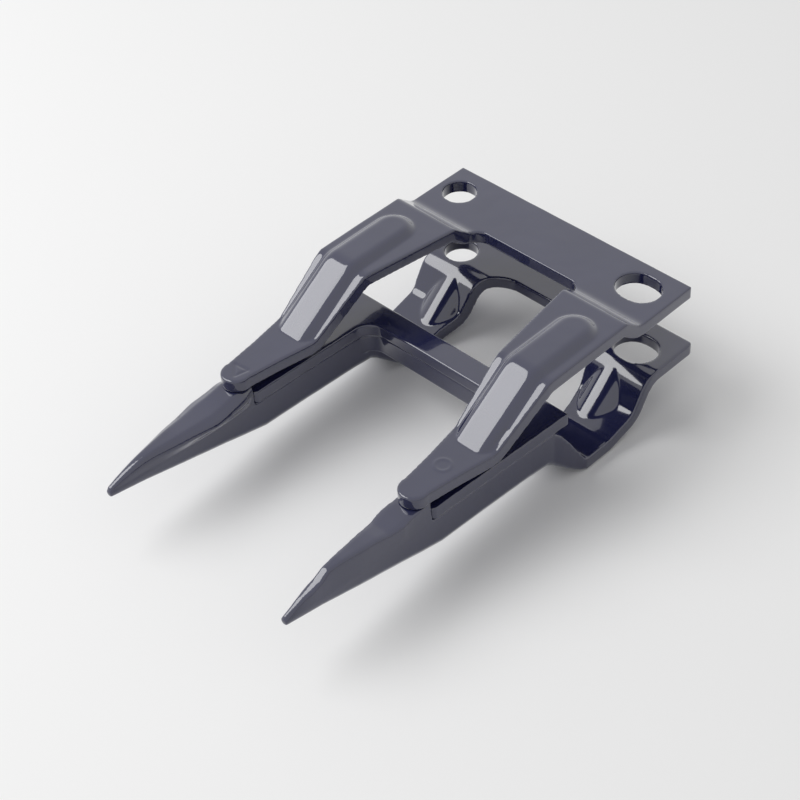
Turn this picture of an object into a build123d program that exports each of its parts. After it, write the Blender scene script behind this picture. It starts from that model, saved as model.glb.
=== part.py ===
from build123d import *
import os

# Double knife guard of a sickle-bar mower: two pressings, a ledger plate and two tip welds.
# Millimetres. X runs along the row of bolt holes, the fingers point to -Y and Z is up.
# The origin is midway between the two bolt holes, on the top face of the upper plate.

# Pitch and sheet
pitch = 76.2
sheet = 4.5
middle = 1.9
mid_plane = Plane((middle, 0, 0))
mid_section = Plane.YZ.offset(middle)
finger_axes = (middle - pitch / 2, middle + pitch / 2)

# Bolt holes, the second one let out sideways for play in the bar
hole_diameter = 11.5
slot_width = 13.0
slot_length = 15.5

# Upper pressing: plate, raised arms, slope and holding lips
plate_width = 97.0
plate_rear = 10.9
plate_front = -13.9
bridge_front = -10.9
arm_rise = 5.0
arm_rise_end = -20.5
arm_front = -56.5
lip_rear = -77.5
lip_top = -9.2
nose_front = -108.6
upper_top = (
    (plate_rear, 0),
    (plate_front, 0),
    (arm_rise_end, arm_rise),
    (arm_front, arm_rise),
    (lip_rear, lip_top),
    (nose_front - 1, lip_top),
)
upper_bends = (6, 2.5, 8, 4)

# Beads pressed up along the arms
bead_half = 7.8
bead_crown = 4.6
bead_shoulder = 3.5
bead_height = 2.1
bead_foot = 0.4
bead_depth = 1.2
bead_rear = -33.5

# Ledger plate
ledger_top = -17.2
ledger_bottom = ledger_top - sheet
ledger_rear = -44.0
ledger_bar_front = -52.7
ledger_front = -101.3
ledger_half_width = 45.6

# Lower pressing: plate, tails, belly, trough under the ledger and closed points
low_top = -24.6
low_rear = 13.6
belly_top = -39.3
trough_floor = -30.1
tail_half = 10.1
window_rear = -0.5
trough_wall = 3.2
trough_front = -97.0
bar_rear = -45.4
bar_front = ledger_bar_front + 0.4
bar_bottom = -28.9
tip_front = -157.4
lower_top = (
    (low_rear, low_top),
    (-8.8, low_top),
    (-16.0, -36.3),
    (-27.0, belly_top),
    (-38.5, belly_top),
    (-50.5, trough_floor),
    (trough_front - 3, trough_floor),
)
lower_bends = (9, 5, 12, 6, 9)

# Darts pressed across the lower bend of the tails
dart_spread = 34.8
dart_half = 6.7
dart_depth = 3.0
dart_rear = (-10.2, -27.0)
dart_front = (-25.0, -38.9)
dart_length = ((dart_front[0] - dart_rear[0]) ** 2 + (dart_front[1] - dart_rear[1]) ** 2) ** 0.5

# Welds laid over the points, as (y, half width at the foot, at the brim, top)
nose_under = lip_top - sheet
left_weld = (
    (ledger_front, 4.5, 4.8, nose_under),
    (-105.0, 4.4, 6.0, nose_under),
    (-110.0, 4.3, 6.6, -14.2),
    (-114.0, 4.1, 6.8, -15.0),
    (-118.0, 3.9, 6.9, -15.4),
    (-122.0, 3.8, 6.2, -15.6),
    (-126.0, 3.6, 5.4, -15.7),
    (-130.0, 3.4, 4.8, -15.7),
    (-135.0, 3.0, 3.9, -15.9),
    (-140.0, 2.6, 2.9, -16.1),
    (-145.0, 2.1, 2.2, -16.8),
    (-150.0, 1.7, 1.7, -18.1),
    (-154.0, 1.3, 1.3, -19.4),
    (-156.8, 0.9, 0.9, -20.4),
)
right_weld = (
    (ledger_front, 4.8, 4.3, nose_under),
    (-105.0, 4.7, 4.7, nose_under),
    (-109.0, 4.6, 4.7, -13.9),
    (-113.0, 4.45, 5.1, -14.5),
    (-118.0, 4.2, 4.2, -15.0),
    (-122.0, 4.05, 3.5, -14.5),
    (-126.0, 3.85, 3.1, -14.3),
    (-130.0, 3.7, 2.6, -14.2),
    (-135.0, 3.3, 1.95, -13.9),
    (-140.0, 2.8, 1.5, -14.2),
    (-143.5, 2.5, 1.7, -16.3),
    (-146.0, 2.3, 1.8, -17.1),
    (-150.0, 1.95, 1.3, -18.2),
    (-154.0, 1.6, 0.9, -19.7),
    (-156.8, 1.2, 0.7, -20.7),
)

# Lower fingers, as (y, half width, top, bottom, cut of the bottom edge)
finger_stations = (
    (-37.0, 10.1, -39.9, -43.8, 0.3),
    (-38.0, 10.1, -39.2, -43.7, 0.4),
    (-40.0, 9.6, -36.2, -43.2, 0.8),
    (-42.0, 9.1, -32.8, -42.1, 1.1),
    (-43.5, 8.8, -30.0, -41.1, 1.4),
    (-47.0, 8.0, -24.6, -38.4, 2.0),
    (-50.0, 7.2, ledger_bottom, -36.1, 2.4),
    (-52.5, 7.0, ledger_bottom, -34.7, 2.6),
    (-60.0, 6.4, ledger_bottom, -34.6, 2.6),
    (-80.0, 5.4, ledger_bottom, -34.6, 2.6),
    (-97.5, 4.9, ledger_bottom, -34.4, 2.6),
    (-106.0, 4.7, ledger_bottom, -32.6, 2.5),
    (-114.0, 4.4, ledger_bottom, -30.8, 2.4),
    (-130.0, 3.7, ledger_bottom, -27.7, 2.1),
    (-144.0, 2.5, ledger_bottom, -25.2, 1.6),
    (-152.0, 1.8, ledger_bottom, -24.1, 1.2),
    (-157.2, 1.2, ledger_bottom, -23.5, 0.8),
)


def sheet_profile(points, bends):
    """Strip of sheet seen from the side, from the corners of its top face and bend radii."""
    with BuildSketch(mid_section) as profile:
        with BuildLine():
            FilletPolyline(*points, radius=bends)
            offset(amount=sheet, side=Side.LEFT, closed=True)
        make_face()
    return profile.sketch


def bead_section(plane):
    """Low flat-topped section of a pressed bead, its foot line on the plane's X axis."""
    with BuildSketch(plane) as section:
        with BuildLine():
            over = FilletPolyline(
                (-bead_half, -bead_foot),
                (-bead_crown, bead_height),
                (bead_crown, bead_height),
                (bead_half, -bead_foot),
                radius=bead_shoulder,
            )
            Polyline(over @ 1, (bead_half, -bead_depth), (-bead_half, -bead_depth), over @ 0)
        make_face()
    return section.sketch


def bead_path(drop, bend, end):
    """Path of a bead along the raised arm, over its front bend and down the slope."""
    run = (lip_rear - arm_front, lip_top - arm_rise)
    with BuildLine(mid_section) as path:
        FilletPolyline(
            (bead_rear, arm_rise - drop),
            (arm_front + drop * 0.307, arm_rise - drop),
            (arm_front + drop * 0.307 + run[0] * end, arm_rise - drop + run[1] * end),
            radius=bend,
        )
    return path.line


def half_bead():
    """Half of the bead's section with the bead's axis on its left side."""
    with BuildSketch() as section:
        with BuildLine():
            over = FilletPolyline(
                (0, bead_height),
                (bead_crown, bead_height),
                (bead_half, -bead_foot),
                radius=bead_shoulder,
            )
            Polyline(over @ 1, (bead_half, -bead_depth), (0, -bead_depth), over @ 0)
        make_face()
    return section.sketch


def round_ended(edge, front):
    """Flat outline from its half widths along the finger, closed by a round front end."""
    with BuildSketch() as outline:
        with BuildLine():
            right = Polyline(*edge)
            end = right @ 1
            ThreePointArc(end, (0, front), (-end.X, end.Y))
            mirror(about=Plane.YZ)
            Line((edge[0][0], edge[0][1]), (-edge[0][0], edge[0][1]))
        make_face()
    return outline.sketch


def brim_section(foot, brim, top):
    """Corners of a section through a weld that spreads to a brim above its foot."""
    height = top - ledger_bottom
    right = [(foot, 0), (brim, height * 0.58), (brim * 0.93, height * 0.8), (brim * 0.5, height)]
    return right + [(-x, z) for x, z in reversed(right)]


def ground_section(foot, brim, top):
    """Corners of a section through a weld ground flat on both sides."""
    height = top - ledger_bottom
    right = [(foot, 0), (brim, height - 0.3), (brim * 0.6, height)]
    return right + [(-x, z) for x, z in reversed(right)]


def finger_section(half, top, bottom, cut):
    """Corners of a section through a lower finger, with its bottom edges cut off."""
    right = [(half, top), (half, bottom + cut), (half - 0.3 * cut, bottom + 0.3 * cut), (half - cut, bottom)]
    return right + [(-x, z) for x, z in reversed(right)]


# Flat and side views shared by the pressings
axis = pitch / 2
upper_side = sheet_profile(upper_top, upper_bends)
lower_side = sheet_profile(lower_top, lower_bends)
crown = bead_path(0, upper_bends[2], 1.12)
crown_section = bead_section(Plane(crown @ 0, x_dir=(1, 0, 0), z_dir=(0, -1, 0)))
crown_end = Plane((middle, bead_rear, arm_rise), x_dir=(1, 0, 0), z_dir=(0, -1, 0)) * half_bead()
hollow = bead_path(sheet, upper_bends[2] - sheet, 0.8)
hollow_section = bead_section(Plane(hollow @ 0, x_dir=(1, 0, 0), z_dir=(0, -1, 0)))
hollow_edge = [(half - trough_wall, y) for y, half, *rest in finger_stations if y > trough_front]
hollow_edge.append((1.9, trough_front + 1.9))
hollow_flat = round_ended(hollow_edge, trough_front)
slot_flat = Pos(pitch / 2, 0, 0) * SlotOverall(slot_length, slot_width, mode=Mode.PRIVATE)
dart_run = (0, dart_front[0] - dart_rear[0], dart_front[1] - dart_rear[1])
dart_middle = ((dart_front[0] + dart_rear[0]) / 2, (dart_front[1] + dart_rear[1]) / 2)

# Upper guard: one pressing with the bolt plate, two raised arms and two lips
with BuildPart() as upper_guard:
    with BuildSketch(mid_plane.offset(-20)):
        with BuildLine():
            sides = Polyline(
                (0, plate_rear),
                (plate_width / 2, plate_rear),
                (plate_width / 2, arm_front),
                (axis + 8.4, lip_rear - 2),
                (axis + 6.5, -90.5),
                (axis + 4.9, -102.5),
            )
            nose = ThreePointArc(sides @ 1, (axis, nose_front), (axis - 4.9, -102.5))
            FilletPolyline(
                nose @ 1,
                (axis - 6.5, -90.5),
                (axis - 8.4, lip_rear - 2),
                (27.7, arm_front),
                (22.6, arm_rise_end),
                (21.6, bridge_front),
                (0, bridge_front),
                radius=(30, 20, 30, 30, 4.5),
            )
            mirror(about=Plane.YZ)
        make_face()
    extrude(amount=40)
    extrude(upper_side, amount=plate_width, both=True, mode=Mode.INTERSECT)
    for x in finger_axes:
        across = Pos(x - middle, 0, 0)
        sweep(across * hollow_section, path=across * hollow, mode=Mode.SUBTRACT)
        sweep(across * crown_section, path=across * crown)
        revolve(across * crown_end, axis=Axis((x, bead_rear, 0), (0, 0, 1)))
    with Locations((-pitch / 2, 0, 0)):
        Hole(hole_diameter / 2)
    extrude(slot_flat, amount=-10, mode=Mode.SUBTRACT)
upper_guard.part.label = "upper_guard"

# Ledger plate: flat blank let in between the pressings, its fingers narrowing forwards
with BuildPart() as ledger_plate:
    with BuildSketch(mid_plane.offset(ledger_bottom)):
        with BuildLine():
            FilletPolyline(
                (0, ledger_rear),
                (ledger_half_width, ledger_rear),
                (axis + 6.8, -60.0),
                (axis + 5.4, -88.0),
                (axis + 5.0, ledger_front + 1.2),
                (axis + 4.0, ledger_front),
                (axis - 4.0, ledger_front),
                (axis - 5.0, ledger_front + 1.2),
                (axis - 5.4, -88.0),
                (axis - 6.9, ledger_bar_front),
                (0, ledger_bar_front),
                radius=(0, 20, 20, 0, 0, 0, 0, 20, 6.5),
            )
            mirror(about=Plane.YZ)
        make_face()
    extrude(amount=sheet)
ledger_plate.part.label = "ledger_plate"

# Lower guard: one pressing with the second bolt plate, two tails, two troughs and their points
with BuildPart() as lower_guard:
    with BuildSketch(mid_plane.offset(-60)):
        with BuildLine():
            FilletPolyline(
                (0, low_rear),
                (plate_width / 2, low_rear),
                (plate_width / 2, -8.0),
                (axis + tail_half, -20.0),
                (axis + tail_half, -38.0),
                (axis - tail_half, -38.0),
                (axis - tail_half, -24.0),
                (22.9, window_rear),
                (0, window_rear),
                radius=(1.5, 10, 10, 0, 0, 12, 12),
            )
            mirror(about=Plane.YZ)
        make_face()
    extrude(amount=50)
    extrude(lower_side, amount=plate_width, both=True, mode=Mode.INTERSECT)
    floor_band = extrude(lower_side, amount=plate_width, both=True, mode=Mode.PRIVATE)
    for x in finger_axes:
        for y, half, top, bottom, cut in finger_stations:
            with BuildSketch(Plane((x, y, 0), x_dir=(1, 0, 0), z_dir=(0, -1, 0))):
                Polygon(*finger_section(half, top, bottom, cut), align=None)
        finger = loft(ruled=True, mode=Mode.PRIVATE)
        inside = extrude(Pos(x, 0, -60) * hollow_flat, amount=50, mode=Mode.PRIVATE)
        add(finger - (inside - floor_band))
    for x in (middle - dart_spread, middle + dart_spread):
        with BuildSketch(Plane((x, *dart_middle), x_dir=(1, 0, 0), z_dir=dart_run)):
            with BuildLine():
                ThreePointArc((-dart_half, -dart_depth), (0, 0), (dart_half, -dart_depth))
                Polyline(
                    (dart_half, -dart_depth),
                    (dart_half, -sheet),
                    (-dart_half, -sheet),
                    (-dart_half, -dart_depth),
                )
            make_face()
        extrude(amount=dart_length / 2, both=True)
    with BuildSketch(mid_plane.offset(bar_bottom)):
        with BuildLine():
            FilletPolyline(
                (0, bar_rear),
                (axis - 5.5, bar_rear),
                (axis - 5.5, -64.0),
                (axis - 6.1, -64.0),
                (axis - 6.9, bar_front),
                (0, bar_front),
                radius=(0, 0, 0, 6),
            )
            mirror(about=Plane.YZ)
        make_face()
    extrude(amount=ledger_bottom - bar_bottom)
    with BuildSketch(mid_plane.offset(bar_bottom + trough_wall)):
        with Locations((0, (bar_rear + bar_front + trough_wall) / 2 + 1)):
            Rectangle(2 * (axis - 7.5), bar_rear - bar_front - trough_wall + 2)
    extrude(amount=ledger_bottom - bar_bottom, mode=Mode.SUBTRACT)
    with Locations((-pitch / 2, 0, low_top)):
        Hole(hole_diameter / 2, depth=10)
    extrude(Pos(0, 0, low_top + 1) * slot_flat, amount=-10, mode=Mode.SUBTRACT)
lower_guard.part.label = "lower_guard"

# Left tip weld: a wavy run of weld over the closed point, the upper lip resting on its rear end
with BuildPart() as left_tip_weld:
    for y, foot, brim, top in left_weld:
        with BuildSketch(Plane((finger_axes[0], y, ledger_bottom), x_dir=(1, 0, 0), z_dir=(0, -1, 0))):
            Polygon(*brim_section(foot, brim, top), align=None)
    loft()
    with Locations((finger_axes[0], ledger_front - 5, nose_under)):
        Box(20, 16, 4, align=(Align.CENTER, Align.CENTER, Align.MIN), mode=Mode.SUBTRACT)
left_tip_weld.part.label = "left_tip_weld"

# Right tip weld: the same run ground down flush with the sides of the point
with BuildPart() as right_tip_weld:
    for y, foot, brim, top in right_weld:
        with BuildSketch(Plane((finger_axes[1], y, ledger_bottom), x_dir=(1, 0, 0), z_dir=(0, -1, 0))):
            Polygon(*ground_section(foot, brim, top), align=None)
    loft(ruled=True)
right_tip_weld.part.label = "right_tip_weld"

os.makedirs("parts", exist_ok=True)
export_step(upper_guard.part, "parts/upper_guard.step")
export_step(ledger_plate.part, "parts/ledger_plate.step")
export_step(lower_guard.part, "parts/lower_guard.step")
export_step(left_tip_weld.part, "parts/left_tip_weld.step")
export_step(right_tip_weld.part, "parts/right_tip_weld.step")
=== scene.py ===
import math

import bpy
import numpy
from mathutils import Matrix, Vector, noise


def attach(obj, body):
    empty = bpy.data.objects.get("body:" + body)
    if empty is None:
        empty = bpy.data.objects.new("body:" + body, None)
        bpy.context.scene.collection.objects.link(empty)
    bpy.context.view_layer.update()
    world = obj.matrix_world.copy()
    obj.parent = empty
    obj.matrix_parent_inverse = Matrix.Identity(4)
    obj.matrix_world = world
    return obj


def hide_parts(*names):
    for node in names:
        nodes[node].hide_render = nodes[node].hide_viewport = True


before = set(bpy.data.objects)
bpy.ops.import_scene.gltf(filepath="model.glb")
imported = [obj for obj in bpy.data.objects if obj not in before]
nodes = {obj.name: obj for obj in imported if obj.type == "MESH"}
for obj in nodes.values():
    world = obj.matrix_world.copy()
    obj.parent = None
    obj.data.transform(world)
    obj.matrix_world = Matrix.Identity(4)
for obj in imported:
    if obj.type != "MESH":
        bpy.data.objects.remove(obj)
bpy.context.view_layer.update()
print("frame loaded:", sorted(nodes))


class Socket:
    # wraps a shader socket, so that a mask is written as an expression
    def __init__(self, tree, socket):
        self.tree = tree
        self.socket = socket

    def calculate(self, operation, first, second):
        settings = {"operation": operation}
        return self.node("ShaderNodeMath", settings, {0: first, 1: second})

    def __add__(self, other):
        return self.calculate("ADD", self, other)

    def __radd__(self, other):
        return self.calculate("ADD", other, self)

    def __sub__(self, other):
        return self.calculate("SUBTRACT", self, other)

    def __rsub__(self, other):
        return self.calculate("SUBTRACT", other, self)

    def __mul__(self, other):
        return self.calculate("MULTIPLY", self, other)

    def __rmul__(self, other):
        return self.calculate("MULTIPLY", other, self)

    def node(self, kind, settings, inputs, output=0):
        made = self.tree.nodes.new(kind)
        for name, value in settings.items():
            setattr(made, name, value)
        for name, value in inputs.items():
            if isinstance(value, Socket):
                self.tree.links.new(value.socket, made.inputs[name])
            else:
                made.inputs[name].default_value = value
        return Socket(self.tree, made.outputs[output])


def emptyMaterial(name):
    material = bpy.data.materials.new(name)
    material.use_nodes = True
    tree = material.node_tree
    shader = tree.nodes["Principled BSDF"]
    return material, tree, shader, Socket(tree, None)


cameraSetup = {
    "place": (0.34157, -0.39321, 0.40699),
    "turn": (47.5425, 2.5979, 44.1312),  # degrees
    "lens": 92.0,
    "sensor": 36.0,
}
bpy.ops.object.camera_add(
    location=cameraSetup["place"],
    rotation=[math.radians(angle) for angle in cameraSetup["turn"]],
)
camera = bpy.context.object
camera.name = "photoCamera"
camera.data.lens = cameraSetup["lens"]
camera.data.sensor_width = cameraSetup["sensor"]
camera.data.clip_start = 0.01
bpy.context.scene.camera = camera
bpy.context.scene.view_settings.view_transform = "Standard"
print("camera set")


room = {
    "floorHeight": -0.0441,
    "floorSize": 8.0,
    "floorColour": (0.93, 0.93, 0.93, 1.0),
    "skyLight": 0.50,  # light of the surroundings on matt surfaces, mirrored they stay white
    "lamps": {
        "frontSoftbox": {"place": (-0.62, -0.55, 0.90), "size": 0.85, "radiance": 4.1},
    },
    "aim": (0.0, -0.07, 0.0),
}


def makeWorld():
    world = bpy.data.worlds.new("whiteRoom")
    bpy.context.scene.world = world
    world.use_nodes = True
    tree = world.node_tree
    background = tree.nodes["Background"]
    start = Socket(tree, None)
    seen = start.node("ShaderNodeLightPath", {}, {}, "Is Camera Ray")
    glossy = Socket(tree, seen.socket.node.outputs["Is Glossy Ray"])
    clear = Socket(tree, seen.socket.node.outputs["Is Transmission Ray"])
    white = start.node("ShaderNodeMath", {"operation": "MAXIMUM"}, {0: seen, 1: glossy})
    white = start.node("ShaderNodeMath", {"operation": "MAXIMUM"}, {0: white, 1: clear})
    strength = white * (1.0 - room["skyLight"]) + room["skyLight"]
    tree.links.new(strength.socket, background.inputs["Strength"])
    background.inputs["Color"].default_value = (1.0, 1.0, 1.0, 1.0)


def makeFloor():
    bpy.ops.object.select_all(action="DESELECT")
    bpy.ops.mesh.primitive_plane_add(size=room["floorSize"], location=(0, 0, room["floorHeight"]))
    floor = bpy.context.object
    floor.name = "floor"
    material, tree, shader, start = emptyMaterial("paleFloor")
    shader.inputs["Base Color"].default_value = room["floorColour"]
    shader.inputs["Roughness"].default_value = 0.9
    shader.inputs["Specular IOR Level"].default_value = 0.0
    floor.data.materials.append(material)


def makeLamps():
    for name, lamp in room["lamps"].items():
        bpy.ops.object.light_add(type="AREA", location=lamp["place"])
        light = bpy.context.object
        light.name = name
        light.data.shape = "SQUARE"
        light.data.size = lamp["size"]
        light.data.energy = lamp["radiance"] * math.pi * lamp["size"] ** 2
        aim = Vector(room["aim"]) - Vector(lamp["place"])
        light.rotation_euler = aim.to_track_quat("-Z", "Y").to_euler()


makeWorld()
makeFloor()
makeLamps()
print("room set")

dipPaint = {
    "colour": (0.012, 0.014, 0.050, 1.0),
    "paleColour": (0.018, 0.020, 0.066, 1.0),
    "roughness": 0.12,
    "coat": 1.0,
    "coatRoughness": 0.03,
    "patchScale": 60.0,
    "peelScale": 420.0,  # orange peel
    "peelDepth": 0.000012,
    "grainScale": 1500.0,
    "grainDepth": 0.000003,
}


def makeDipPaint(name):
    material, tree, shader, start = emptyMaterial(name)
    place = start.node("ShaderNodeTexCoord", {}, {}, "Object")
    patch = start.node("ShaderNodeTexNoise", {}, {"Vector": place, "Scale": dipPaint["patchScale"], "Detail": 2.0})
    peel = start.node("ShaderNodeTexNoise", {}, {"Vector": place, "Scale": dipPaint["peelScale"], "Detail": 1.0})
    grain = start.node("ShaderNodeTexNoise", {}, {"Vector": place, "Scale": dipPaint["grainScale"], "Detail": 2.0})
    colour = start.node(
        "ShaderNodeMix",
        {"data_type": "RGBA"},
        {0: patch, 6: dipPaint["colour"], 7: dipPaint["paleColour"]},
        2,
    )
    tree.links.new(colour.socket, shader.inputs["Base Color"])
    roughness = dipPaint["roughness"] + (grain - 0.5) * 0.06
    tree.links.new(roughness.socket, shader.inputs["Roughness"])
    height = peel * dipPaint["peelDepth"] + grain * dipPaint["grainDepth"]
    bump = start.node("ShaderNodeBump", {}, {"Height": height, "Distance": 1.0, "Strength": 1.0})
    tree.links.new(bump.socket, shader.inputs["Normal"])
    shader.inputs["Coat Weight"].default_value = dipPaint["coat"]
    shader.inputs["Coat Roughness"].default_value = dipPaint["coatRoughness"]
    shader.inputs["IOR"].default_value = 1.5
    return material


paint = makeDipPaint("dipPaint")


def paintedCopy(label, names, skin):
    # one closed skin over the named solids, its edges rounded as thick paint rounds them
    bpy.ops.object.select_all(action="DESELECT")
    for name in names:
        copy = bpy.data.objects.new(label, nodes[name].data.copy())
        bpy.context.scene.collection.objects.link(copy)
        copy.select_set(True)
        bpy.context.view_layer.objects.active = copy
    if len(names) > 1:
        bpy.ops.object.join()
    piece = bpy.context.object
    bpy.ops.object.mode_set(mode="EDIT")
    bpy.ops.mesh.select_all(action="SELECT")
    bpy.ops.mesh.remove_doubles(threshold=0.000001)
    bpy.ops.object.mode_set(mode="OBJECT")
    piece.data.materials.clear()
    piece.data.materials.append(paint)
    remesh = piece.modifiers.new("paintSkin", "REMESH")
    remesh.mode = "VOXEL"
    remesh.voxel_size = skin["voxel"]
    remesh.use_smooth_shade = True
    relax = piece.modifiers.new("paintFlow", "SMOOTH")
    relax.factor = 0.5
    relax.iterations = skin["relax"]
    bpy.ops.object.modifier_apply(modifier="paintSkin")
    bpy.ops.object.modifier_apply(modifier="paintFlow")
    return piece


def readPlaces(piece):
    count = len(piece.data.vertices)
    places = numpy.empty(count * 3)
    normals = numpy.empty(count * 3)
    piece.data.vertices.foreach_get("co", places)
    piece.data.vertices.foreach_get("normal", normals)
    return places.reshape(count, 3) * 1000.0, normals.reshape(count, 3)


def writePlaces(piece, places):
    piece.data.vertices.foreach_set("co", (places / 1000.0).ravel())
    piece.data.update()


def rollPaint(piece, wave):
    # slow rise and fall of the paint, in millimetres
    places, normals = readPlaces(piece)
    spread = [
        noise.noise(Vector(place) / wave["long"]) + 0.45 * noise.noise(Vector(place) / wave["short"] + Vector((7, 3, 5)))
        for place in places
    ]
    writePlaces(piece, places + normals * (numpy.array(spread) * wave["height"])[:, None])


def distanceToPath(places, path):
    # shortest distance to a line of points, or to one point
    points = [numpy.array(point, float) for point in path]
    best = numpy.linalg.norm(places - points[0], axis=1)
    for first, second in zip(points, points[1:]):
        run = second - first
        along = numpy.clip((places - first) @ run / (run @ run), 0.0, 1.0)
        best = numpy.minimum(best, numpy.linalg.norm(places - first - along[:, None] * run, axis=1))
    return best


def pressMarks(piece, marks):
    # dents, runs and lumps: each rises or falls by height along the surface's own normal
    for mark in marks.values():
        places, normals = readPlaces(piece)
        distance = distanceToPath(places, mark["path"])
        distance = numpy.abs(distance - mark.get("ring", 0.0))
        rise = mark["height"] * numpy.exp(-((distance / mark["width"]) ** 2))
        writePlaces(piece, places + normals * rise[:, None])


def thin(piece, most):
    # keeps a piece below the triangles that it may have
    triangles = sum(len(face.vertices) - 2 for face in piece.data.polygons)
    if triangles > most:
        bpy.context.view_layer.objects.active = piece
        fewer = piece.modifiers.new("fewer", "DECIMATE")
        fewer.ratio = most / triangles
        bpy.ops.object.modifier_apply(modifier="fewer")
    piece.data.shade_smooth()
    print(piece.name, "triangles", sum(len(face.vertices) - 2 for face in piece.data.polygons), "of", triangles)


upperSkin = {
    "voxel": 0.00034,
    "relax": 12,
    "most": 185000,
    "roll": {"long": 13.0, "short": 4.5, "height": 0.05},
    "marks": {
        "punchRing": {"path": [(39.9, -91.4, -9.2)], "ring": 2.5, "width": 0.55, "height": 0.16},
        "leftArmSlit": {"path": [(-33.6, -57.5, 4.0), (-32.9, -66.5, -2.2)], "width": 0.45, "height": -0.35},
        "rightArmSlit": {"path": [(44.9, -58.0, 4.0), (45.5, -68.5, -3.4)], "width": 0.55, "height": -0.45},
        "rightArmPit": {"path": [(46.9, -71.5, -5.0), (46.3, -76.0, -8.0)], "width": 0.6, "height": -0.35},
        "noseDentLeft": {"path": [(-39.0, -101.4, -9.2), (-33.9, -100.8, -9.2), (-35.0, -105.2, -9.2), (-39.0, -101.4, -9.2)], "width": 0.5, "height": -0.22},
    },
}
upperPiece = paintedCopy("upperPressing", ["upper_guard"], upperSkin)
rollPaint(upperPiece, upperSkin["roll"])
pressMarks(upperPiece, upperSkin["marks"])
thin(upperPiece, upperSkin["most"])
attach(upperPiece, "root")
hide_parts("upper_guard")

ledgerSkin = {
    "voxel": 0.00030,
    "relax": 10,
    "most": 150000,
    "roll": {"long": 12.0, "short": 4.0, "height": 0.04},
    "marks": {},
}
ledgerPiece = paintedCopy("ledgerPlate", ["ledger_plate"], ledgerSkin)
rollPaint(ledgerPiece, ledgerSkin["roll"])
pressMarks(ledgerPiece, ledgerSkin["marks"])
thin(ledgerPiece, ledgerSkin["most"])
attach(ledgerPiece, "root")
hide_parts("ledger_plate")

lowerSkin = {
    "voxel": 0.00036,
    "relax": 10,
    "most": 190000,
    "roll": {"long": 13.0, "short": 4.5, "height": 0.05},
    "marks": {},
}
lowerPiece = paintedCopy("lowerPressing", ["lower_guard", "left_tip_weld", "right_tip_weld"], lowerSkin)
rollPaint(lowerPiece, lowerSkin["roll"])
pressMarks(lowerPiece, lowerSkin["marks"])
thin(lowerPiece, lowerSkin["most"])
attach(lowerPiece, "root")
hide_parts("lower_guard", "left_tip_weld", "right_tip_weld")
print("painted pieces made")
